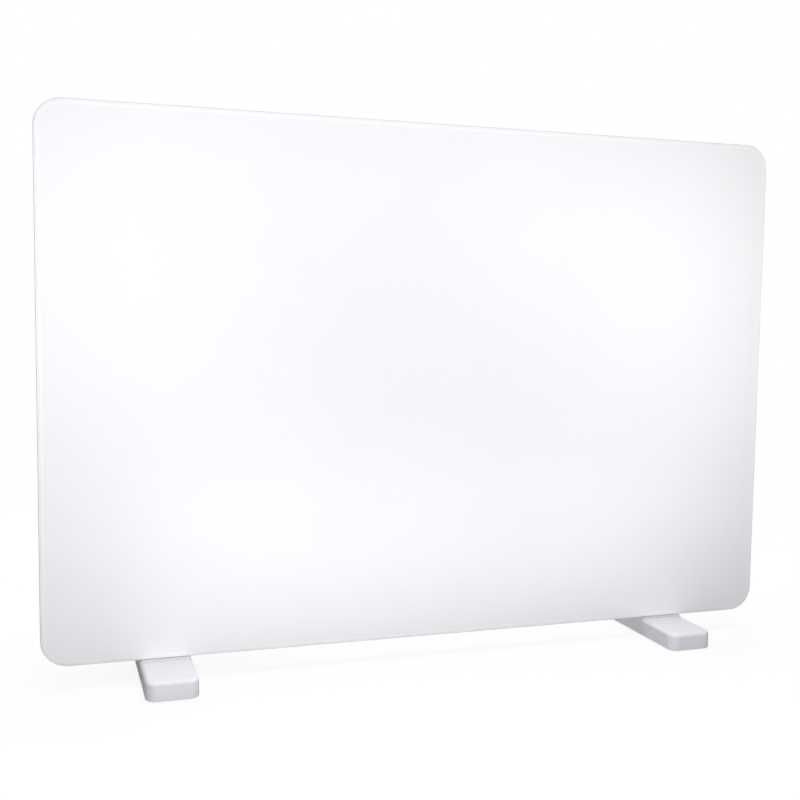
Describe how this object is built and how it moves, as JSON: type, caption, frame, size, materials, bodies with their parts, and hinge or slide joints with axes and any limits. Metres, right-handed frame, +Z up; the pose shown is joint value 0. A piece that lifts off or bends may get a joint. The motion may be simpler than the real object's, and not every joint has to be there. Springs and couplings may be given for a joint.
{
  "type": "glass panel heater",
  "caption": "Freestanding electric room heater: a flat white glass panel with rounded corners and a slim steel back with a control box, standing on slab feet.",
  "frame": {"origin": "on the floor, under the middle of the heater's overall length and depth", "axes": "+X along the panel, to the right seen from the front; +Y from the glass towards the back; +Z up"},
  "size_m": [0.6, 0.12, 0.422],
  "materials": {
    "enamelled_glass": "polished",
    "silicone": "matte",
    "heating_film": "matte",
    "copper": "satin",
    "mineral_board": "matte",
    "powder_coat": "satin",
    "zinc_steel": "satin",
    "brass": "satin",
    "foot_plastic": "satin",
    "box_plastic": "satin",
    "dark_plastic": "satin",
    "terminal_ceramic": "satin",
    "rubber": "matte",
    "element_wire": "satin",
    "live_wire": "satin",
    "neutral_wire": "satin",
    "earth_wire": "satin"
  },
  "bodies": {
    "heater": {"glass_panel": "enamelled_glass", "edge_seal": "silicone", "heating_film": "heating_film", "left_bus_bar": "copper", "right_bus_bar": "copper", "insulation_board": "mineral_board", "rear_casing": "powder_coat", "left_lower_weld_nut": "zinc_steel", "left_upper_weld_nut": "zinc_steel", "right_lower_weld_nut": "zinc_steel", "right_upper_weld_nut": "zinc_steel", "thermal_cutout": "dark_plastic", "left_element_lead": "element_wire", "right_element_lead": "element_wire", "cutout_lead": "element_wire", "casing_grommet": "rubber", "control_box_base": "box_plastic", "control_box_cover": "box_plastic", "cover_screw_1": "zinc_steel", "cover_screw_2": "zinc_steel", "cover_screw_3": "zinc_steel", "cover_screw_4": "zinc_steel", "base_screw_1": "zinc_steel", "base_screw_2": "zinc_steel", "power_inlet": "dark_plastic", "live_pin": "brass", "neutral_pin": "brass", "earth_pin": "brass", "rocker_switch_body": "dark_plastic", "thermostat_body": "dark_plastic", "thermostat_nut": "brass", "terminal_block": "terminal_ceramic", "earth_screw": "brass", "live_lead": "live_wire", "switch_lead": "live_wire", "thermostat_lead": "live_wire", "neutral_lead": "neutral_wire", "earth_lead": "earth_wire", "left_foot_shell": "foot_plastic", "left_foot_plate": "zinc_steel", "left_foot_front_pad": "rubber", "left_foot_rear_pad": "rubber", "left_foot_bracket": "powder_coat", "left_lower_thumbscrew": "dark_plastic", "left_upper_thumbscrew": "dark_plastic", "left_foot_front_screw": "zinc_steel", "left_foot_rear_screw": "zinc_steel", "right_foot_shell": "foot_plastic", "right_foot_plate": "zinc_steel", "right_foot_front_pad": "rubber", "right_foot_rear_pad": "rubber", "right_foot_bracket": "powder_coat", "right_lower_thumbscrew": "dark_plastic", "right_upper_thumbscrew": "dark_plastic", "right_foot_front_screw": "zinc_steel", "right_foot_rear_screw": "zinc_steel"},
    "switch_rocker": {"rocker_key": "dark_plastic"},
    "thermostat_dial": {"thermostat_shaft": "zinc_steel", "thermostat_knob": "dark_plastic"}
  },
  "joints": [
    {"name": "switch_rock", "type": "hinge", "parent": "heater", "child": "switch_rocker", "pos_m": [-0.2295, 0.0435, 0.158], "axis": [1, 0, 0], "range_deg": [0, 20]},
    {"name": "thermostat_turn", "type": "hinge", "parent": "heater", "child": "thermostat_dial", "pos_m": [-0.19, 0.05, 0.158], "axis": [0, -1, 0], "range_deg": [0, 270]}
  ]
}
